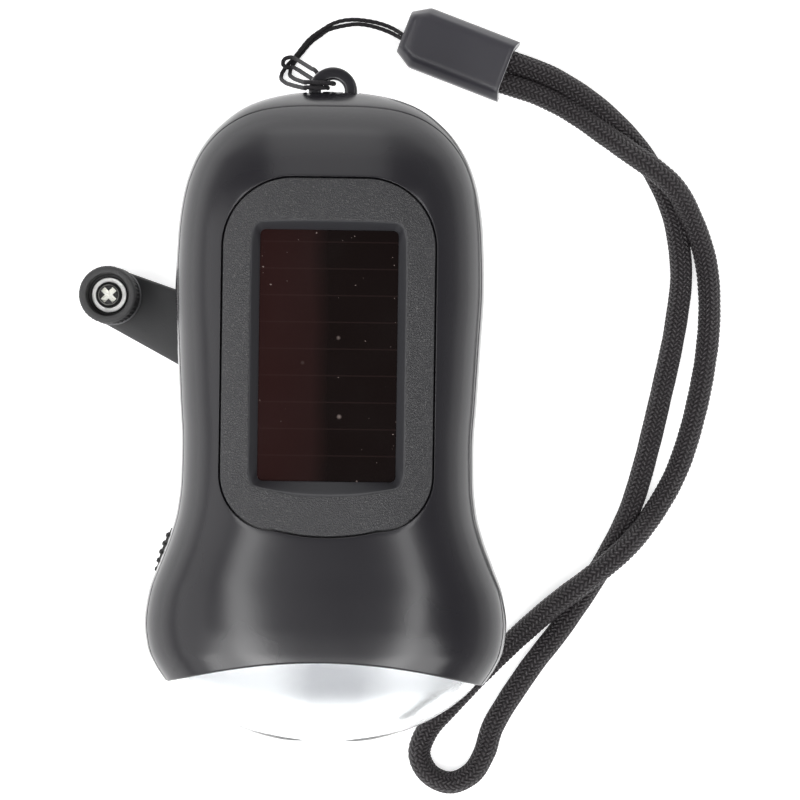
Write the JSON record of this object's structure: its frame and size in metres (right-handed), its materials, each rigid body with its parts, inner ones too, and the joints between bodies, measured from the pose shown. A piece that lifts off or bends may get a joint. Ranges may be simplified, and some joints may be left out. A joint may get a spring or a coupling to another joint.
{
  "type": "hand crank flashlight",
  "caption": "Palm-sized flashlight with a fold-out hand crank, a solar panel in its front face, a bulged lens and a braided wrist lanyard.",
  "frame": {"origin": "on the crank axis, in the plane that the crank hub rests on", "axes": "+Y along the body to its tail, +Z along the crank axis and out of the front face, +X to the right of the front face"},
  "size_m": [0.1127, 0.1377, 0.046],
  "materials": {
    "casing": "satin black moulded plastic",
    "grained_panel": "finely grained black plastic",
    "solar_cell": "dark brown-black cells under a clear cover",
    "foam": "grey foam",
    "black_screw": "blackened steel",
    "clear_lens": "clear moulded plastic",
    "silver": "vacuum-metallised plastic",
    "lamp": "clear epoxy",
    "board": "green circuit board",
    "crank": "matte black moulded plastic",
    "steel": "bright steel",
    "knob": "black plastic with fine ribs",
    "gear": "natural acetal",
    "magnet": "ferrite",
    "coil": "enamelled copper wire",
    "cord": "black braided polyester",
    "sleeve": "smooth black plastic"
  },
  "bodies": {
    "casing": {"front_shell": "casing", "back_shell": "casing", "bezel": "grained_panel", "solar_panel": "solar_cell", "solar_pad": "foam", "case_screw_1": "black_screw", "case_screw_2": "black_screw", "case_screw_3": "black_screw", "case_screw_4": "black_screw", "lens": "clear_lens", "reflector": "silver", "led_1": "lamp", "led_2": "lamp", "led_3": "lamp", "led_board": "board", "second_axle": "steel", "third_axle": "steel", "stator_coil": "coil", "gearbox_plate": "steel", "plate_screw_1": "steel", "plate_screw_2": "steel", "plate_screw_3": "steel", "cell_1": "steel", "cell_2": "steel", "cell_3": "steel", "cell_holder": "crank", "main_board": "board", "switch_body": "crank", "lanyard_eyelet": "casing", "thin_cord": "cord", "cord_sleeve": "sleeve", "wrist_cord": "cord"},
    "hub": {"crank_hub": "crank", "hinge_pin": "steel", "hub_screw": "steel", "drive_gear": "gear"},
    "arm": {"crank_arm": "crank", "knob_washer": "steel", "knob_screw": "black_screw"},
    "knob": {"knob": "knob"},
    "second": {"second_gear": "gear"},
    "third": {"third_gear": "gear"},
    "rotor": {"rotor_pinion": "steel", "rotor_magnet": "magnet"},
    "slider": {"switch_slider": "crank"}
  },
  "joints": [
    {"name": "crank_spin", "type": "hinge", "parent": "casing", "child": "hub", "pos_m": [0, 0, 0], "axis": [0, 0, 1], "continuous": true},
    {"name": "arm_fold", "type": "hinge", "parent": "hub", "child": "arm", "pos_m": [0, 0, 0.00225], "axis": [-0.3987, -0.9171, 0], "range_deg": [0, 180]},
    {"name": "knob_spin", "type": "hinge", "parent": "arm", "child": "knob", "pos_m": [-0.03898, 0.01695, 0.0105], "axis": [0, 0, 1], "continuous": true},
    {"name": "second_spin", "type": "hinge", "parent": "casing", "child": "second", "pos_m": [0, 0.0161, 0.0137], "axis": [0, 0, 1], "continuous": true},
    {"name": "third_spin", "type": "hinge", "parent": "casing", "child": "third", "pos_m": [-0.00801, 0.00638, 0.0165], "axis": [0, 0, 1], "continuous": true},
    {"name": "rotor_spin", "type": "hinge", "parent": "casing", "child": "rotor", "pos_m": [0.00309, 0.00381, 0.0225], "axis": [0, 0, 1], "continuous": true},
    {"name": "switch_slide", "type": "slide", "parent": "casing", "child": "slider", "axis": [-0.3007, -0.9537, 0], "range_m": [0, 0.003]}
  ],
  "couplings": [
    {"joint": "second_spin", "follows": "crank_spin", "ratio": -3.6},
    {"joint": "third_spin", "follows": "crank_spin", "ratio": 11.52},
    {"joint": "rotor_spin", "follows": "crank_spin", "ratio": -32.256}
  ]
}
